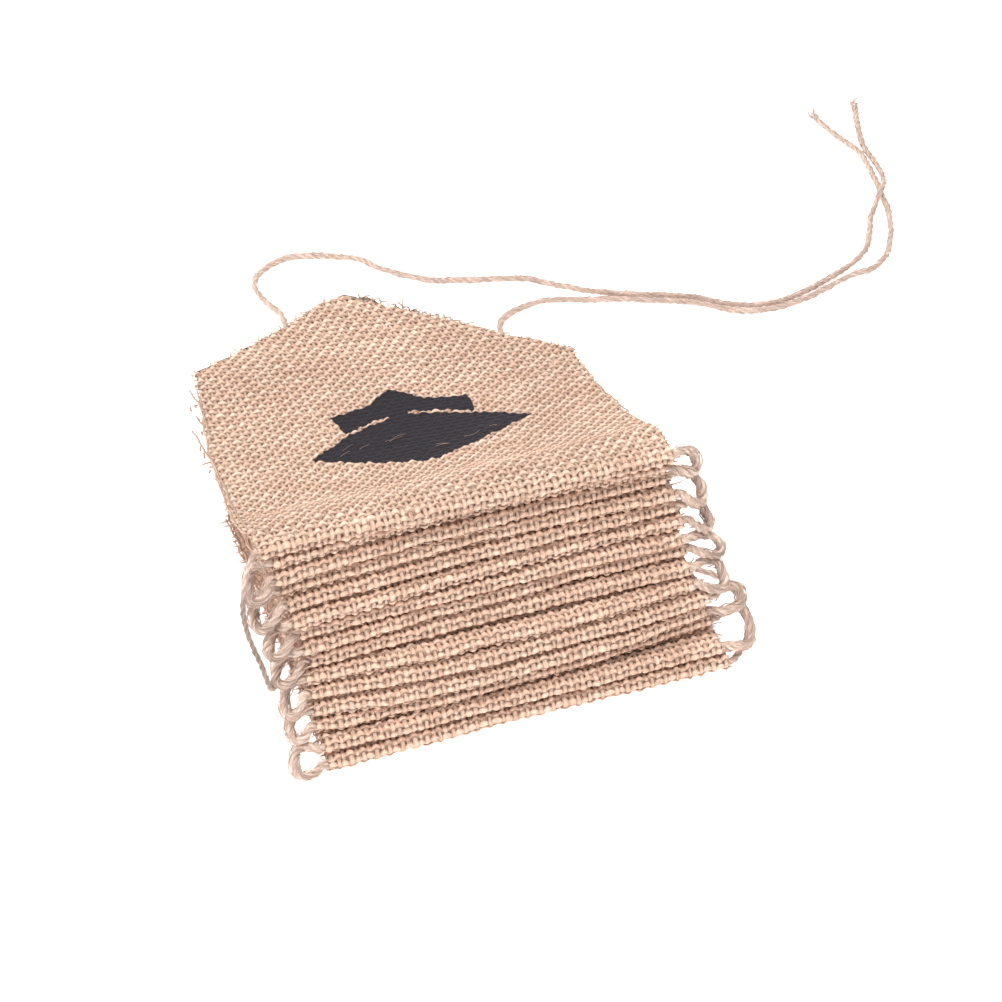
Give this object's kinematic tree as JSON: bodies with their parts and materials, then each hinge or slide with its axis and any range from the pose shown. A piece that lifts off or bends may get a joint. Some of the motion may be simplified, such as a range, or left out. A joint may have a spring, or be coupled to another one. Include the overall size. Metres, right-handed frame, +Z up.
{
  "type": "fabric bunting",
  "caption": "Burlap pennant bunting folded back and forth into a stack: straight casings in front, points behind, a jute twine that loops between the casings, and its loose ends.",
  "frame": {"origin": "on the surface it lies on, under the middle of the box around the pennants; the loose twine is not counted", "axes": "+X along the casings to their right ends, +Y from the casings to the points of the pennants, +Z up"},
  "size_m": [0.3221, 0.2875, 0.0808],
  "materials": {
    "burlap": "coarse natural weave, matte, with raw edges",
    "twine": "two-ply jute twine, matte and hairy"
  },
  "bodies": {
    "root": {"pennant_01": "burlap", "pennant_02": "burlap", "pennant_03": "burlap", "pennant_04": "burlap", "pennant_05": "burlap", "pennant_06": "burlap", "pennant_07": "burlap", "pennant_08": "burlap", "pennant_09": "burlap", "pennant_10": "burlap", "pennant_11": "burlap", "pennant_12": "burlap", "pennant_13": "burlap", "pennant_14": "burlap", "pennant_15": "burlap", "twine_loop_01": "twine", "twine_loop_02": "twine", "twine_loop_03": "twine", "twine_loop_04": "twine", "twine_loop_05": "twine", "twine_loop_06": "twine", "twine_loop_07": "twine", "twine_loop_08": "twine", "twine_loop_09": "twine", "twine_loop_10": "twine", "twine_loop_11": "twine", "twine_loop_12": "twine", "twine_loop_13": "twine", "twine_loop_14": "twine", "twine_end_left": "twine", "twine_end_right": "twine"}
  },
  "joints": []
}
